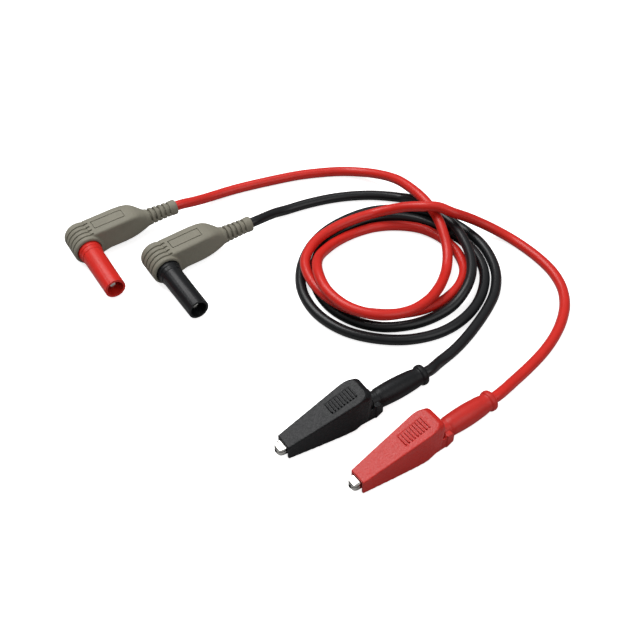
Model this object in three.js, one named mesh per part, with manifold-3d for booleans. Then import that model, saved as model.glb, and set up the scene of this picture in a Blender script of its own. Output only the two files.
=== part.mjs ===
// A pair of alligator clip test leads, one red and one black.
// Each lead has a right-angle 4 mm safety plug, a flexible cable and an insulated alligator clip.
// Millimetres, +Z up. The leads lie on a table at z = 0; the origin is the middle of the plugs and clips.
import * as THREE from 'three';
import { mergeVertices } from 'three/addons/utils/BufferGeometryUtils.js';
import Module from 'manifold-3d';

const wasm = await Module();
wasm.setup();

// ---- driving sizes -------------------------------------------------------------------------

const gap = 0.3;                    // clearance kept wherever two pieces touch
const cableRadius = 1.95;

// Plug: its own x runs along the boot to the cable, y away from the shroud, z up.
const barrelRadius = 5.8;           // round elbow of the boot; also the height of every axis
const barrelDepth = 12.2;
const bootHalfWidth = 5;
const bootMiddle = 6.2;             // y of the boot's centre line
const bootShoulder = 19.6;          // x where the boot starts to narrow
const bellyHeight = 2.1;            // underside of the boot's body, behind the elbow
const bootTop = 12.2;               // top of the body at its shoulder, a little above the elbow
const neckStart = 25.6;
const reliefEnd = 38.6;
const neckRadius = 3.3;
const reliefEndRadius = 2.75;
const boreRadius = cableRadius + gap;
const shroudRadius = 3.9;
const shroudLength = 23.2;
const shroudWall = 0.85;
const insertRadius = 4.5;           // root of the shroud, inside the boot
const insertDepth = 9.6;
const pinRadius = 1.95;
const pinRecess = 2.2;              // the pin's end, inside the shroud's mouth

// Clip: its own x runs from the nose to the cable, y to the left, z up.
const noseHalfWidth = 3.1;
const tailHalfWidth = 5.1;
const coverLength = 32.2;
const coverWall = 0.9;
const pivotX = 16.5;
const pivotHeight = 5.6;
const pivotRadius = 0.8;
const sheet = 0.55;                 // thickness of the jaws' sheet metal
const sleeveHeight = 3.9;
const sleeveStart = 30.8;
const sleeveEnd = 56.3;

const layoutShift = [18.9, 8.7];      // puts the middle of the plugs and clips at the origin

// Where each plug and clip lies, before that shift: its own origin on the table and the turn of its own x, in degrees.
const places = {
  red: { plug: [-86.1, 29.8, 31.8], clip: [11.2, -72.7, 36.3] },
  black: { plug: [-55.7, 19.1, 33.3], clip: [-11.8, -59.6, 33.8] },
};

const colours = { red: 0xc8102a, black: 0x17181b, grey: 0x8c897d };

// ---- materials -----------------------------------------------------------------------------

function plastic(colour, roughness = 0.55) {
  return new THREE.MeshStandardMaterial({ color: colour, roughness, metalness: 0 });
}

function metal(colour, roughness = 0.25) {
  return new THREE.MeshStandardMaterial({ color: colour, roughness, metalness: 1 });
}

const nickel = metal(0xc9c9c6);
const brass = metal(0xc2a35a, 0.35);
const copper = metal(0xb9744a, 0.4);
const springSteel = metal(0x9a9a98, 0.3);

// ---- solids --------------------------------------------------------------------------------

function solid(geometry) {
  const bare = geometry.index ? geometry.toNonIndexed() : geometry.clone();
  bare.deleteAttribute('normal');
  bare.deleteAttribute('uv');
  const merged = mergeVertices(bare, 1e-4);
  return new wasm.Manifold(new wasm.Mesh({
    numProp: 3,
    vertProperties: new Float32Array(merged.attributes.position.array),
    triVerts: new Uint32Array(merged.index.array),
  }));
}

function geometryOf(body) {
  const mesh = body.getMesh();
  const geometry = new THREE.BufferGeometry();
  geometry.setAttribute('position', new THREE.BufferAttribute(new Float32Array(mesh.vertProperties), 3));
  geometry.setIndex(new THREE.BufferAttribute(new Uint32Array(mesh.triVerts), 1));
  geometry.computeVertexNormals();
  return geometry;
}

function joined(first, ...rest) {
  return rest.reduce((body, other) => body.add(other), first);
}

function cut(first, ...rest) {
  return rest.reduce((body, other) => body.subtract(other), first);
}

function box(low, high) {
  const [a, b] = [new THREE.Vector3(...low), new THREE.Vector3(...high)];
  const size = b.clone().sub(a);
  const middle = a.add(b).multiplyScalar(0.5);
  return solid(new THREE.BoxGeometry(size.x, size.y, size.z).translate(middle.x, middle.y, middle.z));
}

// Turns [radius, distance] pairs round an axis: 'x' or 'y' through the given point.
function turned(profile, axis, at, sides = 24) {
  const points = profile.map(([r, d]) => new THREE.Vector2(r, d));
  const geometry = new THREE.LatheGeometry(points, sides);
  if (axis === 'x') geometry.rotateZ(-Math.PI / 2);
  geometry.translate(...at);
  return solid(geometry);
}

function rod(radius, from, to, axis, at, sides = 24) {
  return turned([[0, from], [radius, from], [radius, to], [0, to]], axis, at, sides);
}

// An outline in x and z, pushed through in y from low to high.
function sideSlab(outline, low, high) {
  const shape = new THREE.Shape(outline.map(([x, z]) => new THREE.Vector2(x, z)));
  const geometry = new THREE.ExtrudeGeometry(shape, { depth: high - low, bevelEnabled: false, curveSegments: 6 });
  geometry.rotateX(Math.PI / 2);
  geometry.translate(0, high, 0);
  return solid(geometry);
}

// An outline in x and y, pushed through in z from low to high.
function planSlab(outline, low, high) {
  const shape = new THREE.Shape(outline.map(([x, y]) => new THREE.Vector2(x, y)));
  const geometry = new THREE.ExtrudeGeometry(shape, { depth: high - low, bevelEnabled: false, curveSegments: 6 });
  geometry.translate(0, 0, low);
  return solid(geometry);
}

function arc(cx, cy, radius, from, to, steps) {
  const points = [];
  for (let i = 0; i <= steps; i++) {
    const angle = THREE.MathUtils.degToRad(from + (to - from) * i / steps);
    points.push([cx + radius * Math.cos(angle), cy + radius * Math.sin(angle)]);
  }
  return points;
}

// ---- plug ----------------------------------------------------------------------------------

// Grey overmoulded boot: round elbow with four grooves, flat-sided body, slotted strain relief.
function plugBoot() {
  const h = barrelRadius;
  const side = sideSlab([
    ...arc(0, h, h, 270, 90, 12),
    [bootShoulder - 3, bootTop], [bootShoulder, bootTop - 0.2], [neckStart, h + neckRadius],
    [neckStart, h - neckRadius], [bootShoulder - 4, bellyHeight], [8.5, bellyHeight], [4.5, 0.4],
  ], 0, barrelDepth);
  const far = bootMiddle + bootHalfWidth + 0.5;
  const near = bootMiddle - bootHalfWidth;
  const plan = planSlab([
    [-h - 1, 0], [h, 0], [h + 0.6, near], [bootShoulder - 4, near], [neckStart + 1, bootMiddle - neckRadius],
    [neckStart + 1, bootMiddle + neckRadius], [bootShoulder, far], ...arc(-h + 3, far + 1 - 3, 3, 90, 180, 4),
  ], -1, bootTop + 1);
  const relief = turned([
    [0, neckStart - 1], [neckRadius, neckStart - 1], [neckRadius, neckStart],
    [reliefEndRadius, reliefEnd - 2.4], [reliefEndRadius + 0.15, reliefEnd], [0, reliefEnd],
  ], 'x', [0, bootMiddle, h], 20);
  let body = joined(side.intersect(plan), relief);
  for (let i = 0; i < 4; i++) {
    const y = 2 + 2.15 * i;
    const ring = turned([[h - 0.5, y - 0.25], [h + 1, y - 0.25], [h + 1, y + 0.25], [h - 0.5, y + 0.25],
      [h - 0.5, y - 0.25]], 'y', [0, 0, h], 24);
    body = cut(body, ring.intersect(box([-h - 1, 0, -1], [2.4, barrelDepth, 2 * h + 1])));
  }
  for (let i = 0; i < 5; i++) {
    const x = neckStart + 1.6 + 1.9 * i;
    const side1 = i % 2 ? 1 : -1;
    const slot = box([x, -5, -5], [x + 0.6, 5, 5]);
    const core = rod(2.55, x - 1, x + 2, 'x', [0, 0, 0], 16);
    const web = box([x - 1, side1 > 0 ? -5 : 0.8, -5], [x + 2, side1 > 0 ? -0.8 : 5, 5]);
    body = cut(body, cut(slot, core, web).translate([0, bootMiddle, h]));
  }
  return cut(body,
    rod(boreRadius, 0, reliefEnd + 1, 'x', [0, bootMiddle, h], 16),
    rod(insertRadius + gap, -1, insertDepth + gap, 'y', [0, 0, h]));
}

// Hard moulding: open shroud round the pin, stepped collar, and the root held in the boot.
function plugShroud() {
  const h = barrelRadius;
  const inner = shroudRadius - shroudWall;
  const outer = turned([
    [inner, -shroudLength], [shroudRadius, -shroudLength], [shroudRadius + 0.1, -3.2], [4.3, -1.4],
    [insertRadius, -1.2], [insertRadius, insertDepth], [0, insertDepth], [0, -4], [inner, -4],
    [inner, -shroudLength],
  ], 'y', [0, 0, h], 28);
  return cut(outer,
    rod(pinRadius + gap, -6, insertDepth - 1.2, 'y', [0, 0, h]),
    box([0, bootMiddle - 2.6, h - 2.6], [insertRadius + 1, bootMiddle + 2.6, h + 2.6]));
}

// Nickel-plated 4 mm pin: rounded tip, waist under the contact spring, shoulder at the root.
function plugPin() {
  const tip = -shroudLength + pinRecess;
  return turned([
    [0, tip], [1, tip], [1.5, tip + 0.6], [1.5, tip + 1], [1.1, tip + 1.4], [1.1, tip + 12.2],
    [pinRadius, tip + 12.6], [pinRadius, 2.6], [0, 2.6],
  ], 'y', [0, 0, barrelRadius], 20);
}

// Barrel-shaped cage of sprung ribs that grips the socket.
function plugContactSpring() {
  const start = -shroudLength + pinRecess + 1.6;
  const length = 10.4;
  const outer = [];
  const inner = [];
  for (let i = 0; i <= 4; i++) {
    const t = i / 4;
    const radius = 1.65 + 0.4 * Math.sin(Math.PI * t);
    outer.push([radius, start + length * t]);
    inner.unshift([radius - 0.25, start + length * t]);
  }
  let cage = turned([...outer, ...inner, outer[0]], 'y', [0, 0, barrelRadius], 18);
  for (let i = 0; i < 6; i++) {
    const slot = box([0.5, start + 1.6, -0.22], [3, start + length - 1.6, 0.22]);
    cage = cut(cage, slot.rotate([0, 60 * i, 0]).translate([0, 0, barrelRadius]));
  }
  return cage;
}

// Brass terminal behind the pin, with the barrel that is crimped on the conductor.
function plugTerminal() {
  const h = barrelRadius;
  const post = rod(1.4, 2.6 + gap, bootMiddle + 1.4, 'y', [0, 0, h], 16);
  const barrel = turned([[1.15, 1], [1.65, 1], [1.65, 7.6], [1.15, 7.6], [1.15, 1]],
    'x', [0, bootMiddle, h], 16);
  return joined(post, barrel);
}

function conductor(from, to, axisY, axisZ) {
  return rod(0.8, from, to, 'x', [0, axisY, axisZ], 12);
}

// ---- clip ----------------------------------------------------------------------------------

function halfWidthAt(x) {
  return noseHalfWidth + (tailHalfWidth - noseHalfWidth) * Math.min(x, 25) / 25;
}

function coverPlan(inset, from, to) {
  const stations = [from, 25, to - 1.5];
  const right = stations.map((x) => [x, -halfWidthAt(x) + inset]);
  const left = stations.map((x) => [x, halfWidthAt(x) - inset]).reverse();
  const corner = halfWidthAt(to) - inset - 1.5;
  return [...right, [to, -corner], [to, corner], ...left];
}

// Shell over the upper jaw: sloping top, deep skirts, nine grip ribs, open underneath.
function upperCover() {
  const outer = sideSlab([
    [0.3, 2.1], [13, 1.2], [21, 0.8], [25, 1], [31.4, 3.8], [coverLength, 12.2], [31.3, 14.5],
    [29.6, 15.2], [1, 7.9], [0, 7.2],
  ], -10, 10).intersect(planSlab(coverPlan(0, 0, coverLength), -1, 20));
  const hollow = sideSlab([
    [-1, 1], [-1, 6.9], [0.5, 6.9], [29.6, 14.1], [34, 13.7], [34, -1], [-1, -1],
  ], -10, 10).intersect(planSlab([...coverPlan(coverWall, -1, 40)], -2, 20));
  let shell = cut(outer, hollow);
  for (let i = 0; i < 9; i++) {
    const x = 17.2 + 1.12 * i;
    const z = 7.9 + (x - 1) * 0.255;
    shell = joined(shell, box([x - 0.28, -2.4, z - 0.8], [x + 0.28, 2.4, z + 0.4]));
  }
  return shell;
}

// Tray under the lower jaw: belly on the table, low walls, and the yoke that holds the sleeve.
function lowerCover() {
  const width = (x) => halfWidthAt(x) - coverWall - gap - 0.05;
  const tray = (inset, from, to) => [
    [from, -width(from) + inset], [25, -width(25) + inset], [to, -width(25) + inset],
    [to, width(25) - inset], [25, width(25) - inset], [from, width(from) - inset],
  ];
  const outer = sideSlab([
    [12, 1.9], [20, 0.3], [24, 0], [33.6, 0], [36.4, 1.6], [36.4, 4.8], [35.6, 6], [33.4, 6],
    [32.6, 5.2], [21, 5.2], [19.6, 2], [12, 2],
  ], -10, 10).intersect(joined(planSlab(tray(0, 12, 36.4), -1, 20), box([33.6, -4.2, -1], [37, 4.2, 20])));
  return cut(outer,
    planSlab(tray(0.7, 11, 31.2), 1, 20),
    rod(3.6, 30.4, 33.6, 'x', [0, 0, sleeveHeight], 24),
    rod(3.2, 27, 40, 'x', [0, 0, sleeveHeight], 24),
    box([27, -2.3, sleeveHeight], [40, 2.3, 12]));
}

// Flexible sleeve over the cable, with a bead at its mouth and a flange in the yoke.
function clipSleeve() {
  return turned([
    [boreRadius, sleeveStart], [3.3, sleeveStart], [3.3, 33.3], [2.9, 33.3], [2.9, 36.9], [3.5, 37.2],
    [3.75, 43.5], [3.55, 49], [3.1, 53.7], [3.65, 54.3], [3.65, 55.8], [3.2, sleeveEnd],
    [boreRadius, sleeveEnd], [boreRadius, sleeveStart],
  ], 'x', [0, 0, sleeveHeight], 24);
}

// A folded channel of sheet metal: an outline in side view, its inside cut away, and rounded lips.
function channel(outline, inside, halfWidths, lipX) {
  const [nose, tail] = halfWidths;
  const plan = (inset) => [
    ...arc(lipX + nose - inset, 0, nose - inset, 270, 90, 8).map(([x, y]) => [x, y]),
    [9, nose - inset], [11, tail - inset], [40, tail - inset], [40, -tail + inset],
    [11, -tail + inset], [9, -nose + inset],
  ];
  const outer = sideSlab(outline, -6, 6).intersect(planSlab(plan(0), -2, 20));
  return cut(outer, sideSlab(inside, -6, 6).intersect(planSlab(plan(sheet), -2, 20)));
}

function upperJaw() {
  const body = channel(
    [[-2.7, 5.45], [-2.7, 6.1], [-2.1, 6.55], [0.5, 6.6], [15, 9.7], [28, 12.5], [28, 11.8], [20, 9.2],
      [18.6, 4.2], [14.4, 4.2], [12.5, 6], [10, 5.45]],
    [[-4, 4], [-4, 5.8], [-2.1, 6], [0.5, 6.05], [15, 9.1], [29, 12], [29, 3], [-4, 3]],
    [1.9, 2.3], -2.7);
  return cut(body, rod(pivotRadius + gap, -4, 4, 'y', [pivotX, 0, pivotHeight], 16));
}

function lowerJaw() {
  const body = channel(
    [[-2.7, 5.15], [10, 5.15], [12.5, 5.15], [14.8, 7.2], [18.4, 7.2], [20, 4.2], [23.5, 2], [28.6, 2],
      [28.6, 1.4], [20, 1.4], [12, 2.5], [-2, 3.7], [-2.7, 4.3]],
    [[-4, 6], [-4, 4.6], [-2, 4.3], [12, 3.1], [20, 2], [32, 2], [32, 8], [-4, 8]],
    [1.9, 1.4], -2.7);
  return cut(body, rod(pivotRadius + 0.02, -4, 4, 'y', [pivotX, 0, pivotHeight], 16));
}

function pivotPin() {
  return turned([[0, -2.85], [1.3, -2.85], [1.3, -2.6], [pivotRadius - gap, -2.6],
    [pivotRadius - gap, 2.6], [1.3, 2.6], [1.3, 2.85], [0, 2.85]], 'y', [pivotX, 0, pivotHeight], 16);
}

// Torsion spring round the pin: three turns and two legs that press the tails apart.
function clipSpring() {
  const wire = 0.2;
  const coil = 1.25;
  const turns = 3;
  const points = [new THREE.Vector3(coil + 7, 0.7, 2.9)];
  for (let i = 0; i <= turns * 12; i++) {
    const angle = Math.PI / 2 - i * Math.PI / 6;
    points.push(new THREE.Vector3(coil * Math.cos(angle), 0.6 - 1.2 * i / (turns * 12), coil * Math.sin(angle)));
  }
  points.push(new THREE.Vector3(coil + 7, -0.7, -2.4));
  const section = new THREE.Shape(arc(0, 0, wire, 0, 300, 5).map(([x, y]) => new THREE.Vector2(x, y)));
  const path = new THREE.CatmullRomCurve3(points, false, 'centripetal');
  const geometry = new THREE.ExtrudeGeometry(section, { steps: 60, extrudePath: path });
  return solid(geometry).translate([pivotX, 0, pivotHeight]);
}

// Crimp barrel on the tail of the lower jaw.
function clipFerrule() {
  return turned([[1.1, 25.4], [1.55, 25.4], [1.55, 29.8], [1.1, 29.8], [1.1, 25.4]],
    'x', [0, 0, sleeveHeight], 16);
}

// ---- cables --------------------------------------------------------------------------------

// Every cable is laid through hand-placed points, in millimetres on the table, before the shift.
// A loop's stations are [angle in degrees, radius, height of the cable's middle], clockwise
// from above about the middle of the coil: one turn of the red lead, then the next one on top.
const coilMiddle = [26, 23.5];

const routes = {
  red: {
    before: [[-49.4, 60.2, 4.4], [-44, 64.4, 3], [-38, 68.4, 2.2], [-32, 71.3, 2], [-20, 75.7, 2],
      [-8, 79.4, 2], [4, 81.4, 2], [10.5, 81.6, 2.1], [16.4, 80.1, 3], [22.3, 76.8, 4.8], [28, 72, 7]],
    loops: [[82, 44, 8.7], [70, 36.2, 10.2], [60, 31.8, 10.3], [50, 28.6, 9.8], [40, 26.2, 8.5],
      [20, 23.2, 5.4], [0, 21.1, 3.7], [-20, 20.4, 4.4], [-40, 21.7, 6.4], [-60, 24.8, 8.2], [-80, 28.6, 9.5],
      [-100, 31.5, 10.6], [-120, 31.9, 11], [-140, 30.5, 11.1], [-160, 28.4, 10.5], [-180, 26.7, 8],
      [-200, 24.8, 5.2], [-220, 24, 3.2], [-240, 24, 2.1], [-260, 24.4, 2], [-280, 25.2, 2], [-300, 26.6, 2],
      [-320, 27.3, 2], [-340, 27.8, 2], [-360, 27.8, 2], [-380, 26.2, 2], [-400, 24.4, 2], [-420, 23.8, 3],
      [-440, 24.9, 4.8], [-460, 26.7, 6.1], [-480, 28.4, 6.4], [-500, 29.5, 6.4], [-520, 30.6, 6.4],
      [-540, 31.5, 6.4], [-560, 30, 6.4], [-580, 27.9, 6.4], [-600, 26.9, 6.4], [-620, 27.4, 6.7],
      [-632, 26.4, 9], [-646, 25.2, 12.2], [-660, 25.5, 14.3], [-671, 28.6, 14.4]],
    after: [[50, 44, 12.7], [56.4, 45, 9.2], [62.6, 45.2, 5.8], [68, 43.8, 3.6], [73.4, 40.6, 2.3],
      [78.3, 35.6, 2], [83, 29.3, 2], [86.6, 22.6, 2], [88.7, 14.7, 2], [88.5, 6.5, 2], [86.3, -1.4, 2],
      [82.6, -9.2, 2], [77.5, -16.8, 2], [71.5, -23.8, 2], [65.8, -30, 2.5]],
  },
  black: {
    before: [[-17.7, 54.2, 3.4], [-13, 57.6, 2.2], [-8, 60.2, 2], [-2, 62.6, 2], [4, 64.5, 2], [10, 65.8, 2],
      [16, 66.5, 2], [22, 66.6, 2], [28, 65.9, 2]],
    loops: [[81, 41.8, 2.3], [75, 39.5, 4.3], [69, 36.8, 6.2], [60, 34.5, 6.4], [40, 32.4, 6.4],
      [20, 30.5, 6.4], [0, 30, 6.4], [-20, 29.9, 5.5], [-40, 29, 3], [-60, 28.1, 2], [-80, 28.4, 2],
      [-100, 29.1, 2], [-120, 29.3, 2], [-140, 29.2, 2], [-160, 28.8, 2], [-180, 28.3, 2], [-200, 28, 2],
      [-220, 28, 2], [-240, 28.3, 2], [-260, 29.4, 2], [-280, 30.5, 2], [-300, 31.2, 2], [-320, 32, 2],
      [-340, 33.8, 2], [-360, 35.1, 2], [-380, 35.2, 2], [-400, 35.3, 2], [-420, 35.4, 2], [-440, 35.1, 2],
      [-460, 34.8, 2], [-480, 35.1, 2], [-500, 35, 2], [-520, 34.3, 2], [-540, 33.1, 2], [-560, 32.3, 2],
      [-580, 32.1, 2], [-600, 32.5, 2], [-620, 33.9, 2], [-640, 35.1, 2], [-650, 35.6, 2], [-665, 36.7, 2],
      [-680, 37.4, 2], [-700, 38.6, 2], [-720, 39.4, 2]],
    after: [[64, 12.6, 2], [61, 5.3, 2], [57, -1.8, 2], [51.5, -10, 2], [46.3, -16.4, 2], [41, -21.8, 2.3]],
  },
};

function placed([a, b, z], [x, y, turn]) {
  const angle = THREE.MathUtils.degToRad(turn);
  return [x + a * Math.cos(angle) - b * Math.sin(angle), y + a * Math.sin(angle) + b * Math.cos(angle), z];
}

function station([angle, radius, height]) {
  const turn = THREE.MathUtils.degToRad(angle);
  return [coilMiddle[0] + radius * Math.cos(turn), coilMiddle[1] + radius * Math.sin(turn), height];
}

function cablePath(lead) {
  const { before, loops, after } = routes[lead];
  const { plug, clip } = places[lead];
  const inPlug = [9.7, 24, 37, 40.5].map((x) => placed([x, bootMiddle, barrelRadius], plug));
  const inClip = [59, 55, 44, 30.7].map((x) => placed([x, 0, sleeveHeight], clip));
  const points = [...inPlug, ...before, ...loops.map(station), ...after, ...inClip];
  return new THREE.CatmullRomCurve3(points.map((p) => new THREE.Vector3(...p)), false, 'centripetal');
}

function cable(lead) {
  const section = new THREE.Shape(arc(0, 0, cableRadius, 22.5, 337.5, 7).map(([x, y]) => new THREE.Vector2(x, y)));
  return solid(new THREE.ExtrudeGeometry(section, { steps: 76, extrudePath: cablePath(lead) }));
}

// ---- assembly ------------------------------------------------------------------------------

const group = new THREE.Group();
const layout = new THREE.Group();
layout.position.set(...layoutShift, 0);
group.add(layout);

function add(parent, name, body, material) {
  const mesh = new THREE.Mesh(geometryOf(body), material);
  mesh.name = name;
  parent.add(mesh);
}

function placedGroup([x, y, turn]) {
  const holder = new THREE.Group();
  holder.position.set(x, y, 0);
  holder.rotation.z = THREE.MathUtils.degToRad(turn);
  layout.add(holder);
  return holder;
}

for (const lead of ['red', 'black']) {
  const shell = plastic(colours[lead], 0.5);
  const plug = placedGroup(places[lead].plug);
  add(plug, `${lead}_plug_boot`, plugBoot(), plastic(colours.grey, 0.7));
  add(plug, `${lead}_plug_shroud`, plugShroud(), shell);
  add(plug, `${lead}_plug_pin`, plugPin(), nickel);
  add(plug, `${lead}_plug_contact_spring`, plugContactSpring(), springSteel);
  add(plug, `${lead}_plug_terminal`, plugTerminal(), brass);
  add(plug, `${lead}_plug_conductor`, conductor(1.6, 9.4, bootMiddle, barrelRadius), copper);
  add(layout, `${lead}_cable`, cable(lead), shell);
  const clip = placedGroup(places[lead].clip);
  add(clip, `${lead}_clip_upper_cover`, upperCover(), shell);
  add(clip, `${lead}_clip_lower_cover`, lowerCover(), shell);
  add(clip, `${lead}_clip_sleeve`, clipSleeve(), shell);
  add(clip, `${lead}_clip_upper_jaw`, upperJaw(), nickel);
  add(clip, `${lead}_clip_lower_jaw`, lowerJaw(), nickel);
  add(clip, `${lead}_clip_pivot_pin`, pivotPin(), nickel);
  add(clip, `${lead}_clip_spring`, clipSpring(), springSteel);
  add(clip, `${lead}_clip_ferrule`, clipFerrule(), brass);
  add(clip, `${lead}_clip_conductor`, conductor(25.8, 30.4, 0, sleeveHeight), copper);
}

export default group;
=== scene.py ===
import math

import bmesh
import bpy
from bpy.props import FloatProperty, FloatVectorProperty, IntProperty, PointerProperty
from mathutils import Matrix, Vector


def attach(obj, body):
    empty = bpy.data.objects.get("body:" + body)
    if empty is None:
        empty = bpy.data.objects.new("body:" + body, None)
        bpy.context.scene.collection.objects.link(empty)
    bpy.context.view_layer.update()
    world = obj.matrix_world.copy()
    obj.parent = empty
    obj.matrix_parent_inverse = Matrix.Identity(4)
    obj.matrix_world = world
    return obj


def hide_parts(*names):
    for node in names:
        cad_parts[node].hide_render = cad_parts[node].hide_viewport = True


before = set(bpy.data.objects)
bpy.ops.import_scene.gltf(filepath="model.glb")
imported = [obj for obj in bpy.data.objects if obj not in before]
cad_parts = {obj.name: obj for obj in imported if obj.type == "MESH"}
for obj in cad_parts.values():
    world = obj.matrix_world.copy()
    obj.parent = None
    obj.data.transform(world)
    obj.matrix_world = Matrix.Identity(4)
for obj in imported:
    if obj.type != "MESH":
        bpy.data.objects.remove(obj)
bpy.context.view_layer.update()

bl_info = {
    "name": "Alligator clip test leads",
    "version": (1, 0, 0),
    "blender": (4, 5, 0),
    "location": "3D View > Sidebar > Test leads",
    "description": "A red and a black test lead with right-angle plugs and alligator clips",
    "category": "Object",
}

MM = 0.001
LEADS = ("red", "black")
ROOT = "leads"

# Grooves round the boot's elbow, and slots in its strain relief, in millimetres.
GROOVE_START = 2.05
GROOVE_PITCH = 2.15
SLOTS = 9
SLOT_START = 1.7
SLOT_PITCH = 0.98
SLOT_FLOOR_RADIUS = 2.12

# Room inside the boot, and the shroud's root that fills it, in millimetres.
CABLE_BORE_RADIUS = 2.02
SHROUD_BORE_RADIUS = 4.75
ROOT_RADIUS = 4.5
ROOT_DEPTH = 9.6
TERMINAL_ROOM = 2.6

# The clip's cover: slope of its top, its ribs in millimetres, and the shade and gloss of its plastic.
ROOF_SLOPE = 0.2552
WIDEST_AT = 25
RIB_START = 17.7
RIB_PITCH = 1.12
RIB_SPAN = 0.46
SHELL_SHADE = 0.87
SHELL_GLOSS = {"red": 0.44, "black": 0.26}

# Where each plug and clip lies: its own origin on the table in millimetres, and the turn of
# its own x in degrees. A plug's x runs along the boot to the cable, and its y away from the
# shroud. A clip's x runs from the nose to the cable, and its y to the left.
LAYOUT_SHIFT = (18.9, 8.7)
PLACES = {
    "red": {"plug": (-86.1, 29.8, 31.8), "clip": (11.2, -72.7, 36.3)},
    "black": {"plug": (-55.7, 19.1, 33.3), "clip": (-11.8, -59.6, 33.8)},
}

# Points of the cables in millimetres, before the layout's shift. A loop's stations are (angle in
# degrees, radius, height of the cable's middle), clockwise from above, read off a traced curve at
# steps of about 20 degrees. They aren't hand-placed and no formula gives them.
COIL_MIDDLE = (26, 23.5)
ROUTES = {
    "red": {
        "before": [(-49.4, 60.2, 4.4), (-44, 64.4, 3), (-38, 68.4, 2.2), (-32, 71.3, 2), (-20, 75.7, 2),
            (-8, 79.4, 2), (4, 81.4, 2), (10.5, 81.6, 2.1), (16.4, 80.1, 3), (22.3, 76.8, 4.8),
            (28, 72, 7)],
        "loops": [(82, 44, 8.7), (70, 36.2, 10.2), (60, 31.8, 10.3), (50, 28.6, 9.8), (40, 26.2, 8.5),
            (20, 23.2, 5.4), (0, 21.1, 3.7), (-20, 20.4, 4.4), (-40, 21.7, 6.4), (-60, 24.8, 8.2),
            (-80, 28.6, 9.5), (-100, 31.5, 10.6), (-120, 31.9, 11), (-140, 30.5, 11.1),
            (-160, 28.4, 10.5), (-180, 26.7, 8), (-200, 24.8, 5.2), (-220, 24, 3.2), (-240, 24, 2.1),
            (-260, 24.4, 2), (-280, 25.2, 2), (-300, 26.6, 2), (-320, 27.3, 2), (-340, 27.8, 2),
            (-360, 27.8, 2), (-380, 26.2, 2), (-400, 24.4, 2), (-420, 23.8, 3), (-440, 24.9, 4.8),
            (-460, 26.7, 6.1), (-480, 28.4, 6.4), (-500, 29.5, 6.4), (-520, 30.6, 6.4),
            (-540, 31.5, 6.4), (-560, 30, 6.4), (-580, 27.9, 6.4), (-600, 26.9, 6.4), (-620, 27.4, 6.7),
            (-632, 26.4, 9), (-646, 25.2, 12.2), (-660, 25.5, 14.3), (-671, 28.6, 14.4)],
        "after": [(50, 44, 12.7), (56.4, 45, 9.2), (62.6, 45.2, 5.8), (68, 43.8, 3.6),
            (73.4, 40.6, 2.3), (78.3, 35.6, 2), (83, 29.3, 2), (86.6, 22.6, 2), (88.7, 14.7, 2),
            (88.5, 6.5, 2), (86.3, -1.4, 2), (82.6, -9.2, 2), (77.5, -16.8, 2), (71.5, -23.8, 2),
            (65.8, -30, 2.5)],
    },
    "black": {
        "before": [(-17.7, 54.2, 3.4), (-13, 57.6, 2.2), (-8, 60.2, 2), (-2, 62.6, 2), (4, 64.5, 2),
            (10, 65.8, 2), (16, 66.5, 2), (22, 66.6, 2), (28, 65.9, 2)],
        "loops": [(81, 41.8, 2.3), (75, 39.5, 4.3), (69, 36.8, 6.2), (60, 34.5, 6.4), (40, 32.4, 6.4),
            (20, 30.5, 6.4), (0, 30, 6.4), (-20, 29.9, 5.5), (-40, 29, 3), (-60, 28.1, 2),
            (-80, 28.4, 2), (-100, 29.1, 2), (-120, 29.3, 2), (-140, 29.2, 2), (-160, 28.8, 2),
            (-180, 28.3, 2), (-200, 28, 2), (-220, 28, 2), (-240, 28.3, 2), (-260, 29.4, 2),
            (-280, 30.5, 2), (-300, 31.2, 2), (-320, 32, 2), (-340, 33.8, 2), (-360, 35.1, 2),
            (-380, 35.2, 2), (-400, 35.3, 2), (-420, 35.4, 2), (-440, 35.1, 2), (-460, 34.8, 2),
            (-480, 35.1, 2), (-500, 35, 2), (-520, 34.3, 2), (-540, 33.1, 2), (-560, 32.3, 2),
            (-580, 32.1, 2), (-600, 32.5, 2), (-620, 33.9, 2), (-640, 35.1, 2), (-650, 35.6, 2),
            (-665, 36.7, 2), (-680, 37.4, 2), (-700, 38.6, 2), (-720, 39.4, 2)],
        "after": [(64, 12.6, 2), (61, 5.3, 2), (57, -1.8, 2), (51.5, -10, 2), (46.3, -16.4, 2),
            (41, -21.8, 2.3)],
    },
}


# ---- sizes and colours that a user would change --------------------------------------------


def size_of(name, description, millimetres):
    return FloatProperty(name=name, description=description, default=millimetres * MM, min=0, unit="LENGTH")


def colour_of(name, description, colour):
    return FloatVectorProperty(
        name=name, description=description, default=colour, size=3, min=0, max=1, subtype="COLOR"
    )


class PlugSizes(bpy.types.PropertyGroup):
    barrel_radius: size_of("Elbow radius", "Radius of the boot's round elbow", 5.8)
    barrel_depth: size_of("Elbow depth", "Length of the elbow along the pin", 12.2)
    middle: size_of("Boot middle", "Distance of the cable's axis behind the elbow's face", 6.2)
    relief_start: size_of("Relief start", "Where the strain relief leaves the boot's body", 25.6)
    relief_end: size_of("Relief end", "Where the cable leaves the strain relief", 38.6)
    relief_radius: size_of("Relief radius", "Radius of the strain relief at its root", 3.3)
    shroud_radius: size_of("Shroud radius", "Outer radius of the shroud", 3.9)
    shroud_length: size_of("Shroud length", "Length of the shroud outside the boot", 23.2)
    shroud_wall: size_of("Shroud wall", "Wall thickness of the shroud", 0.85)
    pin_radius: size_of("Pin radius", "Radius of the contact pin", 1.95)
    grooves: IntProperty(name="Grooves", description="Grooves round the elbow", default=4, min=0, max=5)


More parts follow.
